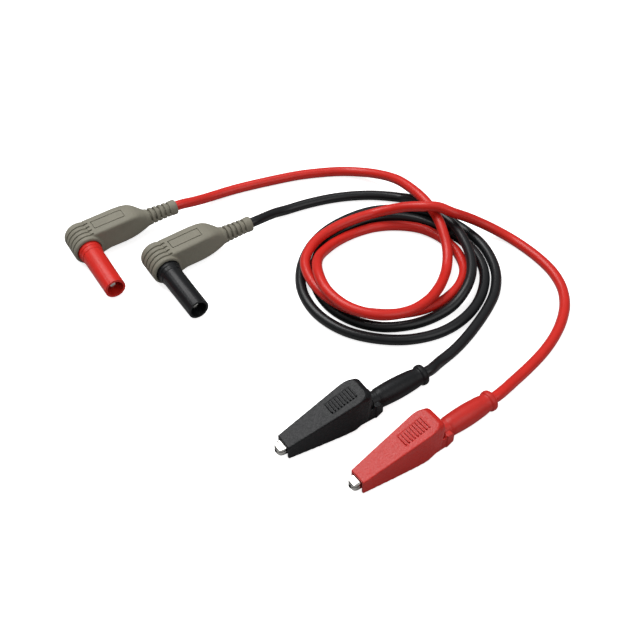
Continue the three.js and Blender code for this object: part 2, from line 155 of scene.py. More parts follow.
class ClipSizes(bpy.types.PropertyGroup):
    nose_half_width: size_of("Nose half width", "Half the cover's width at the nose", 3.1)
    tail_half_width: size_of("Tail half width", "Half the cover's width at the tail", 5.1)
    cover_length: size_of("Cover length", "Length of the upper cover", 32.2)
    wall: size_of("Cover wall", "Wall thickness of the upper cover", 0.9)
    sleeve_height: size_of("Sleeve height", "Height of the sleeve's axis above the table", 3.9)
    sleeve_start: size_of("Sleeve start", "Where the sleeve's flange starts", 30.8)
    sleeve_end: size_of("Sleeve end", "Where the cable leaves the sleeve", 56.3)
    ribs: IntProperty(
        name="Grip ribs", description="Ribs across the top of the cover", default=9, min=0, max=12
    )


class CableSizes(bpy.types.PropertyGroup):
    radius: size_of("Cable radius", "Outer radius of the insulation", 1.95)


class LeadColours(bpy.types.PropertyGroup):
    red: colour_of("Red", "Plastic of the red lead", (0.60, 0.019, 0.012))
    black: colour_of("Black", "Plastic of the black lead", (0.0075, 0.0082, 0.0095))
    boot: colour_of("Boot grey", "Overmould of the boots", (0.215, 0.203, 0.160))


class StageSettings(bpy.types.PropertyGroup):
    elevation: FloatProperty(name="Elevation", description="Camera's angle above the table",
                             default=math.radians(47), subtype="ANGLE")
    distance: size_of("Distance", "Camera's distance from the point it looks at", 369.3)
    lens: FloatProperty(name="Lens", description="Camera's focal length in millimetres", default=57.9)
    floor_size: size_of("Floor size", "Side of the square floor", 6000)


class TestLeads(bpy.types.PropertyGroup):
    plug: PointerProperty(type=PlugSizes)
    clip: PointerProperty(type=ClipSizes)
    cable: PointerProperty(type=CableSizes)
    colours: PointerProperty(type=LeadColours)
    stage: PointerProperty(type=StageSettings)


def settings(group):
    return getattr(bpy.context.scene.test_leads, group)


def millimetres(group, *names):
    """The named sizes of a group, in the millimetres that every piece is shaped in."""
    return [getattr(settings(group), name) / MM for name in names]


# ---- shaping in millimetres, at the piece's own origin ---------------------------------------


def piece_from(bm, name):
    bmesh.ops.remove_doubles(bm, verts=bm.verts, dist=1e-4)
    bmesh.ops.recalc_face_normals(bm, faces=bm.faces)
    mesh = bpy.data.meshes.new(name)
    bm.to_mesh(mesh)
    bm.free()
    piece = bpy.data.objects.new(name, mesh)
    bpy.context.scene.collection.objects.link(piece)
    return piece


def arc(cx, cy, radius, start, end, steps):
    angles = [math.radians(start + (end - start) * i / steps) for i in range(steps + 1)]
    return [(cx + radius * math.cos(a), cy + radius * math.sin(a)) for a in angles]


def turned(name, profile, axis, centre, segments=72, sweep=360, turn=0):
    """A profile of (radius, distance along the axis) turned about the x or y axis through centre."""
    along = Vector((1, 0, 0)) if axis == "x" else Vector((0, 1, 0))
    centre = Vector(centre)
    bm = bmesh.new()
    verts = [bm.verts.new(centre + along * t + Vector((0, 0, r))) for r, t in profile]
    ends = verts[1:] + verts[:1] if profile[0][0] > 0 else verts[1:]
    edges = [bm.edges.new(pair) for pair in zip(verts, ends)]
    bmesh.ops.spin(bm, geom=verts + edges, cent=centre, axis=along, angle=math.radians(sweep),
                   steps=segments, use_merge=sweep == 360, use_duplicate=False)
    if sweep < 360:
        bmesh.ops.holes_fill(bm, edges=bm.edges, sides=0)
        rotation = Matrix.Rotation(math.radians(turn - sweep / 2), 3, along)
        bmesh.ops.rotate(bm, verts=bm.verts, cent=centre, matrix=rotation)
    return piece_from(bm, name)


def rod(name, radius, low, high, axis, centre):
    """A plain round rod, for boring holes."""
    return turned(name, [(0, low), (radius, low), (radius, high), (0, high)], axis, centre, segments=48)


def prism(outline, low, high):
    """A side outline of (x, z) points pushed along y."""
    bm = bmesh.new()
    face = bm.faces.new([bm.verts.new((x, low, z)) for x, z in outline])
    pushed = bmesh.ops.extrude_face_region(bm, geom=[face])["geom"]
    moved = [g for g in pushed if isinstance(g, bmesh.types.BMVert)]
    bmesh.ops.translate(bm, verts=moved, vec=(0, high - low, 0))
    return bm


def block(low, high, bevel=0.0):
    """A box with its edges rounded."""
    bm = bmesh.new()
    middle = (Vector(low) + Vector(high)) / 2
    size = Vector(high) - Vector(low)
    bmesh.ops.create_cube(bm, size=1, matrix=Matrix.Translation(middle) @ Matrix.Diagonal((*size, 1)))
    if bevel:
        rounded(bm, bm.edges, bevel, 3)
    return bm


def rounded(bm, edges, radius, segments):
    bmesh.ops.bevel(bm, geom=list(edges), offset=radius, offset_type="OFFSET", segments=segments,
                    profile=0.5, affect="EDGES", material=-1, clamp_overlap=True)


def skin(name, stations):
    """A closed skin over rounded-square rings: (x, low y, high y, low z, high z, squareness)."""
    bm = bmesh.new()
    last = set()
    for x, y0, y1, z0, z1, squareness in stations:
        ring = bmesh.ops.create_circle(bm, segments=64, radius=1)["verts"]
        edges = {edge for vert in ring for edge in vert.link_edges}
        for vert in ring:
            across, up = (math.copysign(abs(c) ** (2 / squareness), c) for c in vert.co.xy)
            vert.co = (x, (y0 + y1 + across * (y1 - y0)) / 2, (z0 + z1 + up * (z1 - z0)) / 2)
        if last:
            bmesh.ops.bridge_loops(bm, edges=list(last | edges))
        last = edges
    bmesh.ops.holes_fill(bm, edges=bm.edges, sides=0)
    return piece_from(bm, name)


def applied(piece):
    """Gives a piece the mesh that its modifiers make."""
    graph = bpy.context.evaluated_depsgraph_get()
    piece.data = bpy.data.meshes.new_from_object(piece.evaluated_get(graph))
    piece.modifiers.clear()
    return piece


def cut(piece, *cutters):
    for cutter in cutters:
        modifier = piece.modifiers.new("cut", "BOOLEAN")
        modifier.operation = "DIFFERENCE"
        modifier.solver = "EXACT"
        modifier.object = cutter
        applied(piece)
    return piece


def removed(*pieces):
    for piece in pieces:
        bpy.data.objects.remove(piece)


def joined(name, *pieces):
    """One object of several shells."""
    bm = bmesh.new()
    for piece in pieces:
        bm.from_mesh(piece.data)
    mesh = bpy.data.meshes.new(name)
    bm.to_mesh(mesh)
    bm.free()
    removed(*pieces)
    piece = bpy.data.objects.new(name, mesh)
    bpy.context.scene.collection.objects.link(piece)
    return piece


def moulded(piece, voxel, passes):
    """Fuses a piece's shells into one skin and softens its edges, as a moulding has them."""
    remesh = piece.modifiers.new("fuse", "REMESH")
    remesh.mode = "VOXEL"
    remesh.voxel_size = voxel
    remesh.adaptivity = 0
    smooth = piece.modifiers.new("soften", "SMOOTH")
    smooth.factor = 0.5
    smooth.iterations = passes
    return applied(piece)


def without_slivers(piece):
    """Merges the hair-thin faces that a cut leaves."""
    bm = bmesh.new()
    bm.from_mesh(piece.data)
    bmesh.ops.triangulate(bm, faces=bm.faces)
    bmesh.ops.dissolve_degenerate(bm, dist=2e-3, edges=bm.edges)
    bmesh.ops.remove_doubles(bm, verts=bm.verts, dist=2e-3)
    bm.to_mesh(piece.data)
    bm.free()
    return piece


def eased(piece, width, segments=3, angle=25):
    """Rounds a piece's sharp edges."""
    bevel = piece.modifiers.new("ease", "BEVEL")
    bevel.width = width
    bevel.segments = segments
    bevel.limit_method = "ANGLE"
    bevel.angle_limit = math.radians(angle)
    return applied(piece)


def node_copy(node, name):
    """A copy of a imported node, merged, in millimetres where it lies."""
    bm = bmesh.new()
    bm.from_mesh(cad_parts[node].data)
    bmesh.ops.scale(bm, verts=bm.verts, vec=(1 / MM,) * 3)
    bmesh.ops.remove_doubles(bm, verts=bm.verts, dist=1e-3)
    bmesh.ops.dissolve_limit(bm, verts=bm.verts, edges=bm.edges, angle_limit=math.radians(1))
    mesh = bpy.data.meshes.new(name)
    bm.to_mesh(mesh)
    bm.free()
    piece = bpy.data.objects.new(name, mesh)
    bpy.context.scene.collection.objects.link(piece)
    return piece


# ---- placing ---------------------------------------------------------------------------------


def place_of(lead, part):
    """The matrix from a part's own millimetres to the frame."""
    x, y, turn = PLACES[lead][part]
    spot = Vector((x + LAYOUT_SHIFT[0], y + LAYOUT_SHIFT[1], 0)) * MM
    return Matrix.Translation(spot) @ Matrix.Rotation(math.radians(turn), 4, "Z") @ Matrix.Scale(MM, 4)


def finished(piece, matrix, material, body, nodes, sharp=35):
    """Puts a shaped piece where it goes, and says what it is made of, rides on and stands for."""
    piece.data.transform(matrix)
    piece.data.materials.clear()
    piece.data.materials.append(material)
    piece.data.shade_smooth()
    piece.data.set_sharp_from_angle(angle=math.radians(sharp))
    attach(piece, body)
    if nodes:
        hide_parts(*nodes)
    return piece


# ---- finishes --------------------------------------------------------------------------------


def group_input(group, name, kind, default=None):
    socket = group.interface.new_socket(name=name, in_out="INPUT", socket_type=kind)
    if default is not None:
        socket.default_value = default


def moulded_grain():
    """Group: the fine pebbled skin of a moulding, and slow cloudiness of its colour."""
    group = bpy.data.node_groups.get("moulded_grain")
    if group:
        return group
    group = bpy.data.node_groups.new("moulded_grain", "ShaderNodeTree")
    group_input(group, "Vector", "NodeSocketVector")
    group_input(group, "Grain Scale", "NodeSocketFloat", 3000)
    group_input(group, "Cloud Scale", "NodeSocketFloat", 160)
    group.interface.new_socket(name="Height", in_out="OUTPUT", socket_type="NodeSocketFloat")
    group.interface.new_socket(name="Cloud", in_out="OUTPUT", socket_type="NodeSocketFloat")
    nodes, links = group.nodes, group.links
    given = nodes.new("NodeGroupInput")
    out = nodes.new("NodeGroupOutput")
    pebbles = nodes.new("ShaderNodeTexVoronoi")
    pebbles.feature = "SMOOTH_F1"
    fine = nodes.new("ShaderNodeTexNoise")
    fine.inputs["Detail"].default_value = 4
    cloud = nodes.new("ShaderNodeTexNoise")
    cloud.inputs["Detail"].default_value = 3
    mix = nodes.new("ShaderNodeMath")
    mix.operation = "ADD"
    half = nodes.new("ShaderNodeMath")
    half.operation = "MULTIPLY"
    half.inputs[1].default_value = 0.5
    for texture, scale in ((pebbles, "Grain Scale"), (fine, "Grain Scale"), (cloud, "Cloud Scale")):
        links.new(given.outputs["Vector"], texture.inputs["Vector"])
        links.new(given.outputs[scale], texture.inputs["Scale"])
    links.new(pebbles.outputs["Distance"], mix.inputs[0])
    links.new(fine.outputs["Fac"], mix.inputs[1])
    links.new(mix.outputs[0], half.inputs[0])
    links.new(half.outputs[0], out.inputs["Height"])
    links.new(cloud.outputs["Fac"], out.inputs["Cloud"])
    return group


def moulded_finish(name, colour, roughness, grain, depth, gloss=0.32, coat=0.0):
    """A coloured plastic or rubber with a moulded skin. grain is the pebbles' scale per metre."""
    material = bpy.data.materials.get(name)
    if material:
        return material
    material = bpy.data.materials.new(name)
    material.use_nodes = True
    nodes, links = material.node_tree.nodes, material.node_tree.links
    shader = nodes["Principled BSDF"]
    shader.inputs["Coat Weight"].default_value = coat
    shader.inputs["Coat Roughness"].default_value = 0.25
    shader.inputs["IOR"].default_value = 1.45
    shader.inputs["Specular IOR Level"].default_value = gloss
    where = nodes.new("ShaderNodeTexCoord")
    skin_group = nodes.new("ShaderNodeGroup")
    skin_group.node_tree = moulded_grain()
    skin_group.inputs["Grain Scale"].default_value = grain
    links.new(where.outputs["Object"], skin_group.inputs["Vector"])
    tint = nodes.new("ShaderNodeMix")
    tint.data_type = "RGBA"
    tint.inputs["A"].default_value = (*(c * 0.88 for c in colour), 1)
    tint.inputs["B"].default_value = (*(min(1, c * 1.12) for c in colour), 1)
    links.new(skin_group.outputs["Cloud"], tint.inputs["Factor"])
    links.new(tint.outputs["Result"], shader.inputs["Base Color"])
    sheen = nodes.new("ShaderNodeMapRange")
    sheen.inputs["From Min"].default_value = 0.3
    sheen.inputs["From Max"].default_value = 0.7
    sheen.inputs["To Min"].default_value = roughness - 0.06
    sheen.inputs["To Max"].default_value = roughness + 0.06
    links.new(skin_group.outputs["Height"], sheen.inputs["Value"])
    links.new(sheen.outputs["Result"], shader.inputs["Roughness"])
    bump = nodes.new("ShaderNodeBump")
    bump.inputs["Strength"].default_value = 0.6
    bump.inputs["Distance"].default_value = depth * MM
    links.new(skin_group.outputs["Height"], bump.inputs["Height"])
    links.new(bump.outputs["Normal"], shader.inputs["Normal"])
    return material


def metal_finish(name, colour, roughness, scratch_scale=900):
    """A bright metal with fine scratches and slight tarnish."""
    material = bpy.data.materials.get(name)
    if material:
        return material
    material = bpy.data.materials.new(name)
    material.use_nodes = True
    nodes, links = material.node_tree.nodes, material.node_tree.links
    shader = nodes["Principled BSDF"]
    shader.inputs["Metallic"].default_value = 1
    where = nodes.new("ShaderNodeTexCoord")
    scratches = nodes.new("ShaderNodeTexNoise")
    scratches.inputs["Scale"].default_value = scratch_scale
    scratches.inputs["Detail"].default_value = 6
    links.new(where.outputs["Object"], scratches.inputs["Vector"])
    tint = nodes.new("ShaderNodeMix")
    tint.data_type = "RGBA"
    tint.inputs["A"].default_value = (*(c * 0.88 for c in colour), 1)
    tint.inputs["B"].default_value = (*colour, 1)
    links.new(scratches.outputs["Fac"], tint.inputs["Factor"])
    links.new(tint.outputs["Result"], shader.inputs["Base Color"])
    polish = nodes.new("ShaderNodeMapRange")
    polish.inputs["To Min"].default_value = roughness * 0.6
    polish.inputs["To Max"].default_value = roughness * 1.5
    links.new(scratches.outputs["Fac"], polish.inputs["Value"])
    links.new(polish.outputs["Result"], shader.inputs["Roughness"])
    return material


def lead_colour(lead):
    return getattr(settings("colours"), lead)


def shell_plastic(lead):
    colour = lead_colour(lead) * SHELL_SHADE
    return moulded_finish(f"{lead}_shell", colour, 0.42, 1500, 0.24, gloss=SHELL_GLOSS[lead])


def sleeve_rubber(lead):
    colour = lead_colour(lead) * SHELL_SHADE
    return moulded_finish(f"{lead}_sleeve_rubber", colour, 0.44, 1500, 0.09, gloss=SHELL_GLOSS[lead])


def shroud_plastic(lead):
    return moulded_finish(f"{lead}_shroud_plastic", lead_colour(lead), 0.38, 3400, 0.02)


def cable_jacket(lead):
    return moulded_finish(f"{lead}_jacket", lead_colour(lead), 0.36, 1800, 0.02, coat=0.15)


def boot_overmould():
    return moulded_finish("boot_overmould", settings("colours").boot, 0.6, 1600, 0.18)


def nickel():
    return metal_finish("bright_nickel", (0.62, 0.61, 0.58), 0.09)


def spring_steel():
    return metal_finish("spring_steel", (0.55, 0.55, 0.54), 0.3)


def brass():
    return metal_finish("plain_brass", (0.62, 0.46, 0.2), 0.3)


def copper():
    return metal_finish("bare_copper", (0.65, 0.31, 0.17), 0.35, scratch_scale=4000)


# ---- cables ----------------------------------------------------------------------------------


def on_table(point, place):
    a, b, z = point
    x, y, turn = place
    c, s = math.cos(math.radians(turn)), math.sin(math.radians(turn))
    return Vector((x + a * c - b * s, y + a * s + b * c, z))


def station(stop):
    angle, radius, height = stop
    turn = math.radians(angle)
    x, y = COIL_MIDDLE
    return Vector((x + radius * math.cos(turn), y + radius * math.sin(turn), height))


def cable_stops(lead):
    """The points a cable passes through, in metres in the frame, from inside its boot to its clip."""
    middle, axis = millimetres("plug", "middle", "barrel_radius")
    height, = millimetres("clip", "sleeve_height")
    route, place = ROUTES[lead], PLACES[lead]
    stops = [on_table((x, middle, axis), place["plug"]) for x in (9.7, 24, 37, 40.5)]
    stops += [Vector(p) for p in route["before"]]
    stops += [station(s) for s in route["loops"]]
    stops += [Vector(p) for p in route["after"]]
    stops += [on_table((x, 0, height), place["clip"]) for x in (59, 55, 44, 30.7)]
    shift = Vector((*LAYOUT_SHIFT, 0))
    return [(p + shift) * MM for p in stops]


def smooth_path(stops, spacing):
    """Points along the centripetal Catmull-Rom curve through the stops, about spacing apart."""
    path = []
    first, last = 2 * stops[0] - stops[1], 2 * stops[-1] - stops[-2]
    padded = [first, *stops, last]
    for p0, p1, p2, p3 in zip(padded, padded[1:], padded[2:], padded[3:]):
        t0, t1, t2 = ((b - a).length ** 0.5 for a, b in ((p0, p1), (p1, p2), (p2, p3)))
        m1 = ((p1 - p0) / t0 - (p2 - p0) / (t0 + t1) + (p2 - p1) / t1) * t1
        m2 = ((p2 - p1) / t1 - (p3 - p1) / (t1 + t2) + (p3 - p2) / t2) * t1
        count = max(1, round((p2 - p1).length / spacing))
        for i in range(count):
            t = i / count
            path.append(
                p1 * (2 * t**3 - 3 * t**2 + 1) + m1 * (t**3 - 2 * t**2 + t)
                + p2 * (3 * t**2 - 2 * t**3) + m2 * (t**3 - t**2)
            )
    return [*path, stops[-1]]


def cable(lead):
    radius = settings("cable").radius
    path = smooth_path(cable_stops(lead), 1.2 * MM)
    curve = bpy.data.curves.new(f"{lead}_lead_cable", "CURVE")
    curve.dimensions = "3D"
    curve.bevel_depth = radius
    curve.bevel_resolution = 4
    curve.use_fill_caps = True
    spline = curve.splines.new("POLY")
    spline.points.add(len(path) - 1)
    for point, spot in zip(spline.points, path):
        point.co = (*spot, 1)
    spline.use_smooth = True
    curve.materials.append(cable_jacket(lead))
    piece = bpy.data.objects.new(f"{lead}_lead_cable", curve)
    bpy.context.scene.collection.objects.link(piece)
    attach(piece, ROOT)
    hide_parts(f"{lead}_cable")
    end, middle, axis = millimetres("plug", "relief_end", "middle", "barrel_radius")
    return piece


# ---- plug ------------------------------------------------------------------------------------


def elbow():
    """The boot's round elbow, before its grooves are cut."""
    radius, depth = millimetres("plug", "barrel_radius", "barrel_depth")
    profile = [(0, 0), (radius - 0.7, 0), (radius - 0.2, 0.15), (radius, 0.6)]
    profile += [(radius - 2 + x, depth - 2 + y) for x, y in arc(0, 0, 2, 0, 90, 8)]
    profile.append((0, depth))
    return turned("elbow", profile, "y", (0, 0, radius), segments=96)


def boot_body():
    """The flat-sided body that narrows to the strain relief."""
    return skin("boot_body", [
        (2.3, 1.15, 11.4, 0.5, 11.62, 12), (5, 1.15, 11.5, 1.0, 11.7, 11), (8.5, 1.15, 11.6, 2, 11.85, 10),
        (15, 1.2, 11.7, 2.1, 12.15, 9), (18, 1.4, 11.7, 2.15, 12.15, 7.5), (20.2, 1.7, 11.6, 2.2, 11.95, 6),
        (21.9, 2, 11.2, 2.25, 11.45, 4.6), (23.3, 2.3, 10.6, 2.35, 10.7, 3.6),
        (24.6, 2.6, 10, 2.4, 9.9, 2.8), (25.5, 2.8, 9.6, 2.5, 9.3, 2.2), (26.4, 2.9, 9.5, 2.5, 9.1, 2),
    ])


def strain_relief():
    """The tapered relief and a plain collar where the cable comes out; its staggered slots are cut in
    boot_cutters.
    """
    start, end, root, middle, axis = millimetres(
        "plug", "relief_start", "relief_end", "relief_radius", "middle", "barrel_radius"
    )
    return turned("strain_relief", [
        (0, start - 2), (root, start - 2), (root, start), (2.8, end - 2.5), (2.95, end - 1.9),
        (2.95, end - 0.25), (2.75, end), (0, end),
    ], "x", (0, middle, axis))


def groove_section(place, radius, depth, mouth, root):
    """A ring's section, from half its width at the root to half its width at the flared mouth."""
    flare = mouth + 0.12
    outline = [(radius - depth, root), (radius - 0.15, mouth), (radius, flare), (radius + 1.5, flare)]
    near = [(r, place - half) for r, half in outline]
    far = [(r, place + half) for r, half in reversed(outline)]
    return near + far


def boot_cutters():
    """Everything that is cut into the soft boot: elbow grooves, relief slots and the border on top."""
    radius, middle, start = millimetres("plug", "barrel_radius", "middle", "relief_start")
    cutters = []
    for i in range(settings("plug").grooves):
        ring = groove_section(GROOVE_START + GROOVE_PITCH * i, radius, 0.85, 0.24, 0.16)
        cutters.append(turned("groove", ring, "y", (0, 0, radius), segments=90, sweep=243, turn=-90))
    for i in range(SLOTS):
        radius_here = 3.25 - 0.045 * i
        place = start + SLOT_START + SLOT_PITCH * i
        ring = groove_section(place, radius_here, radius_here - SLOT_FLOOR_RADIUS, 0.4, 0.38)
        turn = 180 * (i % 2) + 15
        cutters.append(turned("slot", ring, "x", (0, middle, radius), segments=48, sweep=168, turn=turn))
    cutters.append(name_border())
    return joined("boot_cutters", *cutters)


def name_border():
    """The narrow rectangle engraved on top of the boot, left blank inside."""
    bm = bmesh.new()
    tilt = Matrix.Rotation(-math.atan(0.55 / 12.7), 4, "Y")
    matrix = Matrix.Translation((10.9, 6.4, 11.5)) @ tilt @ Matrix.Diagonal((12.6, 4.4, 1, 1))
    bmesh.ops.create_grid(bm, x_segments=1, y_segments=1, size=0.5, matrix=matrix)
    inset = bmesh.ops.inset_region(
        bm, faces=bm.faces, thickness=0.34, use_boundary=True, use_even_offset=True
    )
    middle = [face for face in bm.faces if face not in inset["faces"]]
    bmesh.ops.delete(bm, geom=middle, context="FACES")
    raised = bmesh.ops.extrude_face_region(bm, geom=bm.faces)["geom"]
    lifted = [g for g in raised if isinstance(g, bmesh.types.BMVert)]
    bmesh.ops.translate(bm, verts=lifted, vec=(0, 0, 2))
    return piece_from(bm, "name_border")


def boot(lead):
    middle, axis, end = millimetres("plug", "middle", "barrel_radius", "relief_end")
    parts = [elbow(), boot_body(), strain_relief()]
    cable_bore = rod("cable_bore", CABLE_BORE_RADIUS, 0, end + 1, "x", (0, middle, axis))
    shroud_bore = rod("shroud_bore", SHROUD_BORE_RADIUS, -1, ROOT_DEPTH + 0.3, "y", (0, 0, axis))
    for part in parts:
        cut(part, cable_bore)
    for part in parts[:2]:
        cut(part, shroud_bore)
    removed(cable_bore, shroud_bore)
    piece = moulded(joined(f"{lead}_boot", *parts), 0.2, 4)
    cutters = boot_cutters()
    cut(piece, cutters)
    removed(cutters)
    without_slivers(piece)
    return finished(piece, place_of(lead, "plug"), boot_overmould(), ROOT,
                    [f"{lead}_plug_boot"], sharp=40)


def shroud(lead):
    radius, length, wall, pin, axis, middle = millimetres(
        "plug", "shroud_radius", "shroud_length", "shroud_wall", "pin_radius", "barrel_radius", "middle"
    )
    bore = radius - wall
    piece = turned(f"{lead}_shroud", [
        (bore, -length), (radius, -length), (radius + 0.12, -3.4), (radius + 0.32, -3.2),
        (radius + 0.36, -1.7), (ROOT_RADIUS, -1.4), (ROOT_RADIUS, ROOT_DEPTH), (pin + 0.3, ROOT_DEPTH),
        (pin + 0.3, -4), (bore, -4),
    ], "y", (0, 0, axis), segments=96)
    low = (0, middle - TERMINAL_ROOM, axis - TERMINAL_ROOM)
    high = (ROOT_RADIUS + 1, middle + TERMINAL_ROOM, axis + TERMINAL_ROOM)
    terminal_room = piece_from(block(low, high), "terminal_room")
    cut(piece, terminal_room)
    removed(terminal_room)
    eased(piece, 0.2)
    return finished(piece, place_of(lead, "plug"), shroud_plastic(lead), ROOT,
                    [f"{lead}_plug_shroud"])


def contact_pin(lead):
    length, radius, axis = millimetres("plug", "shroud_length", "pin_radius", "barrel_radius")
    tip = 2.2 - length
    profile = [(0, tip), *arc(0.9, tip + 0.6, 0.6, -90, 0, 5), (1.5, tip + 1), (1.1, tip + 1.4)]
    profile += [(1.1, tip + 12.2), (radius, tip + 12.6), (radius, 2.6), (0, 2.6)]
    piece = turned(f"{lead}_contact_pin", profile, "y", (0, 0, axis), segments=64)
    return finished(piece, place_of(lead, "plug"), nickel(), ROOT, [f"{lead}_plug_pin"])


# ---- clip ------------------------------------------------------------------------------------


def half_width_at(x):
    nose, tail = millimetres("clip", "nose_half_width", "tail_half_width")
    return nose + (tail - nose) * min(max(x, 0), WIDEST_AT) / WIDEST_AT


def wedge(name, outline, inset, radius, lowest_rounded):
    """A side outline as wide as the cover, less inset, with its upper edges rounded."""
    bm = prism(outline, -1, 1)
    for bend in (0, WIDEST_AT):
        everything = [*bm.verts, *bm.edges, *bm.faces]
        bmesh.ops.bisect_plane(bm, geom=everything, plane_co=(bend, 0, 0), plane_no=(1, 0, 0), dist=1e-4)
    for vert in bm.verts:
        vert.co.y *= half_width_at(vert.co.x) - inset

    def side_edges(low, high):
        return [
            edge for edge in bm.edges
            if edge.verts[0].co.y * edge.verts[1].co.y > 0
            and min(vert.co.z for vert in edge.verts) > lowest_rounded
            and low < sum(vert.co.x for vert in edge.verts) / 2 < high
        ]

    rounded(bm, side_edges(30, 40), radius * 1.9, 6)
    rounded(bm, side_edges(-2, 30), radius, 5)
    return piece_from(bm, name)


def roof_height(x):
    """Height of the cover's sloping top."""
    return 7.9 + (x - 1) * ROOF_SLOPE


def grip_patch():
    """The shallow recess that the ribs stand in."""
    first, last = RIB_START, RIB_START + RIB_PITCH * (settings("clip").ribs - 1)
    middle = (first + last) / 2
    half = RIB_SPAN * half_width_at(middle) + 0.2
    bm = block((first - middle - 0.5, -half, -0.1), (last - middle + 0.5, half, 2))
    slope = Matrix.Rotation(-math.atan(ROOF_SLOPE), 4, "Y")
    place = Matrix.Translation((middle, 0, roof_height(middle)))
    bmesh.ops.transform(bm, verts=bm.verts, matrix=place @ slope)
    return piece_from(bm, "grip_patch")


def grip_rib(x):
    """One soft rib across the cover's top."""
    slope = Matrix.Rotation(-math.atan(ROOF_SLOPE), 4, "Y")
    half = RIB_SPAN * half_width_at(x)
    bm = block((-0.29, -half, -0.8), (0.29, half, 0.42))
    tall = [edge for edge in bm.edges if abs(edge.verts[0].co.z - edge.verts[1].co.z) > 0.5]
    rounded(bm, tall, 0.25, 3)
    top = [edge for edge in bm.edges if min(vert.co.z for vert in edge.verts) > 0.3]
    rounded(bm, top, 0.16, 3)
    bmesh.ops.transform(bm, verts=bm.verts, matrix=Matrix.Translation((x, 0, roof_height(x))) @ slope)
    return piece_from(bm, "grip_rib")


def upper_cover(lead):
    length, wall = millimetres("clip", "cover_length", "wall")
    shell = wedge("cover_shell", [
        (0.3, 2.1), (13, 1.2), (21, 0.8), (25, 1), (31.4, 3.8), (length, 12.2), (31.3, 14.5),
        (29.6, roof_height(29.6)), (25, roof_height(25)), (0.2, roof_height(0.2)),
    ], 0, 1.25, 3)
    hollow = wedge("cover_hollow", [
        (-1, -1), (25, -1), (34, -1), (34, 13.4), (29.6, 14.1), (25, roof_height(25) - wall),
        (-1, roof_height(-1) - wall),
    ], wall, 0.6, 3)
    patch = grip_patch()
    cut(shell, hollow, patch)
    removed(hollow, patch)
    moulded(shell, 0.19, 2)
    ribs = [grip_rib(RIB_START + RIB_PITCH * i) for i in range(settings("clip").ribs)]
    piece = joined(f"{lead}_upper_cover", shell, *ribs)
    return finished(piece, place_of(lead, "clip"), shell_plastic(lead), f"{lead}_jaw",
                    [f"{lead}_clip_upper_cover"], sharp=60)


def lower_cover(lead):
    piece = moulded(node_copy(f"{lead}_clip_lower_cover", f"{lead}_lower_cover"), 0.17, 2)
    return finished(piece, Matrix.Scale(MM, 4), shell_plastic(lead), ROOT,
                    [f"{lead}_clip_lower_cover"], sharp=60)


def sleeve(lead):
    start, end, axis = millimetres("clip", "sleeve_start", "sleeve_end", "sleeve_height")
    bore = settings("cable").radius / MM + 0.25
    belly = [(3.45 + 0.3 * math.sin(math.pi * i / 12), 37.2 + 14 * i / 12) for i in range(13)]
    piece = turned(f"{lead}_sleeve", [
        (bore, start), (3.3, start), (3.3, 33.3), (2.9, 33.3), (2.9, 33.7), (3.12, 33.8), (3.14, 36.6),
        *belly, (3.1, 53.4), (3.2, 53.9), (3.55, 54.2), (3.68, 54.7), (3.68, 55.5), (3.5, 56),
        (3.1, end), (bore, end),
    ], "x", (0, 0, axis), segments=80)
    eased(piece, 0.18)
    return finished(piece, place_of(lead, "clip"), sleeve_rubber(lead), ROOT,
                    [f"{lead}_clip_sleeve"])


def jaw(lead, side, body):
    node = f"{lead}_clip_{side}_jaw"
    piece = eased(node_copy(node, f"{lead}_{side}_jaw"), 0.25, segments=3, angle=30)
    return finished(piece, Matrix.Scale(MM, 4), nickel(), body, [node], sharp=40)


# ---- stage -----------------------------------------------------------------------------------


def camera():
    stage = settings("stage")
    data = bpy.data.cameras.new("camera")
    data.lens = stage.lens
    data.sensor_width = 36
    data.clip_start = 0.01
    data.clip_end = 20
    eye = bpy.data.objects.new("camera", data)
    bpy.context.scene.collection.objects.link(eye)
    target = Vector((*LAYOUT_SHIFT, 0)) * MM
    back = Vector((0, -math.cos(stage.elevation), math.sin(stage.elevation)))
    eye.location = target + back * stage.distance
    eye.rotation_euler = (math.pi / 2 - stage.elevation, 0, 0)
    bpy.context.scene.camera = eye


def floor():
    bm = bmesh.new()
    bmesh.ops.create_grid(bm, x_segments=1, y_segments=1, size=settings("stage").floor_size / 2)
    mesh = bpy.data.meshes.new("floor")
    bm.to_mesh(mesh)
    bm.free()
    sheet = bpy.data.objects.new("floor", mesh)
    bpy.context.scene.collection.objects.link(sheet)
    material = bpy.data.materials.new("pale_floor")
    material.use_nodes = True
    nodes, links = material.node_tree.nodes, material.node_tree.links
    shader = nodes["Principled BSDF"]
    shader.inputs["Roughness"].default_value = 0.9
    shader.inputs["Specular IOR Level"].default_value = 0.1
    shader.inputs["Emission Color"].default_value = (1, 1, 1, 1)
    seen = nodes.new("ShaderNodeLightPath")
    glow = nodes.new("ShaderNodeMath")
    glow.operation = "MULTIPLY"
    glow.inputs[1].default_value = 0.75
    bounce = nodes.new("ShaderNodeMix")
    bounce.data_type = "RGBA"
    bounce.inputs["A"].default_value = (0.4, 0.4, 0.4, 1)
    bounce.inputs["B"].default_value = (0.88, 0.88, 0.88, 1)
    links.new(seen.outputs["Is Camera Ray"], glow.inputs[0])
    links.new(glow.outputs[0], shader.inputs["Emission Strength"])
    links.new(seen.outputs["Is Camera Ray"], bounce.inputs["Factor"])
    links.new(bounce.outputs["Result"], shader.inputs["Base Color"])
    mesh.materials.append(material)


def soft_light(name, spot, side, watts):
    """A large square lamp that faces the middle of the table."""
    data = bpy.data.lights.new(name, "AREA")
    data.shape = "SQUARE"
    data.size = side
    data.energy = watts
    lamp = bpy.data.objects.new(name, data)
    bpy.context.scene.collection.objects.link(lamp)
    lamp.location = spot
    lamp.rotation_euler = (-Vector(spot)).to_track_quat("-Z", "Y").to_euler()


